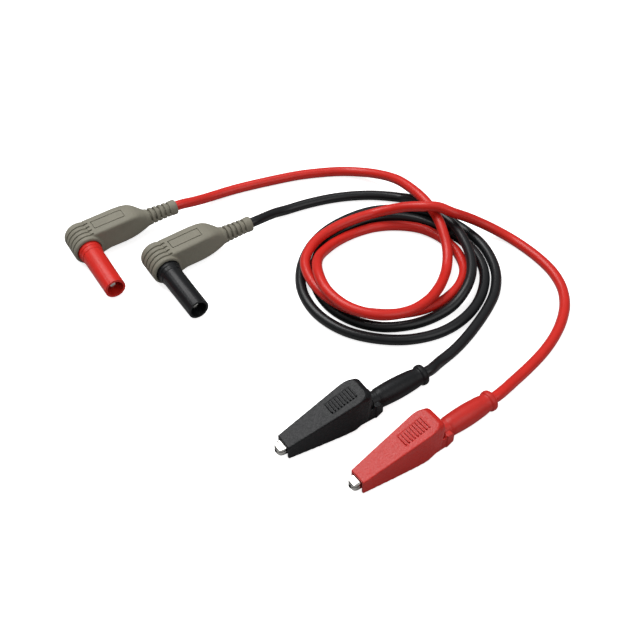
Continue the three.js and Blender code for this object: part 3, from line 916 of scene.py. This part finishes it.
def studio_sky():
    world = bpy.data.worlds.new("studio")
    world.use_nodes = True
    nodes, links = world.node_tree.nodes, world.node_tree.links
    where = nodes.new("ShaderNodeTexCoord")
    height = nodes.new("ShaderNodeSeparateXYZ")
    band = nodes.new("ShaderNodeMapRange")
    band.inputs["From Min"].default_value = 0.12
    band.inputs["From Max"].default_value = 0.75
    band.inputs["To Min"].default_value = 0.02
    band.inputs["To Max"].default_value = 0.5
    seen = nodes.new("ShaderNodeLightPath")
    either = nodes.new("ShaderNodeMath")
    either.operation = "MAXIMUM"
    links.new(where.outputs["Generated"], height.inputs["Vector"])
    links.new(height.outputs["Z"], band.inputs["Value"])
    links.new(band.outputs["Result"], either.inputs[0])
    links.new(seen.outputs["Is Camera Ray"], either.inputs[1])
    links.new(either.outputs[0], nodes["Background"].inputs["Strength"])
    nodes["Background"].inputs["Color"].default_value = (1, 1, 1, 1)
    bpy.context.scene.world = world
    bpy.context.scene.view_settings.view_transform = "Standard"


# ---- operators -------------------------------------------------------------------------------


class LEADS_OT_stage(bpy.types.Operator):
    """Puts up the camera, the pale floor and the soft lamps"""

    bl_idname = "test_leads.stage"
    bl_label = "Stage"

    def execute(self, context):
        camera()
        floor()
        soft_light("key_lamp", (-0.35, 0.35, 0.9), 0.7, 9)
        soft_light("fill_lamp", (0.7, -0.5, 0.7), 0.8, 3)
        studio_sky()
        return {"FINISHED"}


class LEADS_OT_cables(bpy.types.Operator):
    """Lays both cables from their boots through the coil to their clips"""

    bl_idname = "test_leads.cables"
    bl_label = "Cables"

    def execute(self, context):
        for lead in LEADS:
            cable(lead)
        return {"FINISHED"}


class LEADS_OT_boots(bpy.types.Operator):
    """Makes the grey right-angle boots with their strain reliefs"""

    bl_idname = "test_leads.boots"
    bl_label = "Boots"

    def execute(self, context):
        for lead in LEADS:
            boot(lead)
        return {"FINISHED"}


class LEADS_OT_contacts(bpy.types.Operator):
    """Makes the shrouds and the contact pins in them"""

    bl_idname = "test_leads.contacts"
    bl_label = "Shrouds and pins"

    def execute(self, context):
        for lead in LEADS:
            shroud(lead)
            contact_pin(lead)
        return {"FINISHED"}


class LEADS_OT_covers(bpy.types.Operator):
    """Makes the clips' upper and lower covers"""

    bl_idname = "test_leads.covers"
    bl_label = "Clip covers"

    def execute(self, context):
        for lead in LEADS:
            upper_cover(lead)
            lower_cover(lead)
        return {"FINISHED"}


class LEADS_OT_sleeves(bpy.types.Operator):
    """Makes the soft sleeves where the cables enter the clips"""

    bl_idname = "test_leads.sleeves"
    bl_label = "Sleeves"

    def execute(self, context):
        for lead in LEADS:
            sleeve(lead)
        return {"FINISHED"}


class LEADS_OT_jaws(bpy.types.Operator):
    """Makes the plated jaws"""

    bl_idname = "test_leads.jaws"
    bl_label = "Jaws"

    def execute(self, context):
        for lead in LEADS:
            jaw(lead, "upper", f"{lead}_jaw")
            jaw(lead, "lower", ROOT)
        return {"FINISHED"}


class LEADS_OT_inner_parts(bpy.types.Operator):
    """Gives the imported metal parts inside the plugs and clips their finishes"""

    bl_idname = "test_leads.inner_parts"
    bl_label = "Inner metal parts"

    def execute(self, context):
        finishes = {
            "plug_contact_spring": spring_steel, "plug_terminal": brass, "plug_conductor": copper,
            "clip_pivot_pin": nickel, "clip_spring": spring_steel, "clip_ferrule": brass,
            "clip_conductor": copper,
        }
        for lead in LEADS:
            for part, finish in finishes.items():
                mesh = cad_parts[f"{lead}_{part}"].data
                mesh.materials.clear()
                mesh.materials.append(finish())
        return {"FINISHED"}


class LEADS_PT_pieces(bpy.types.Panel):
    """Lists what the test leads are made of"""

    bl_label = "Test leads"
    bl_idname = "LEADS_PT_pieces"
    bl_space_type = "VIEW_3D"
    bl_region_type = "UI"
    bl_category = "Test leads"

    def draw(self, context):
        for operator in STEPS:
            self.layout.operator(operator.bl_idname)
        for group in ("plug", "clip", "cable", "colours", "stage"):
            owner = getattr(context.scene.test_leads, group)
            box = self.layout.box()
            for name in owner.__annotations__:
                box.prop(owner, name)


STEPS = (
    LEADS_OT_stage, LEADS_OT_cables, LEADS_OT_boots, LEADS_OT_contacts, LEADS_OT_covers,
    LEADS_OT_sleeves, LEADS_OT_jaws, LEADS_OT_inner_parts,
)
CLASSES = (PlugSizes, ClipSizes, CableSizes, LeadColours, StageSettings, TestLeads, *STEPS, LEADS_PT_pieces)


def register():
    for cls in CLASSES:
        bpy.utils.register_class(cls)
    bpy.types.Scene.test_leads = PointerProperty(type=TestLeads)


def unregister():
    del bpy.types.Scene.test_leads
    for cls in reversed(CLASSES):
        bpy.utils.unregister_class(cls)


def main():
    register()
    for operator in STEPS:
        group, name = operator.bl_idname.split(".")
        getattr(getattr(bpy.ops, group), name)()


if __name__ == "__main__":
    main()
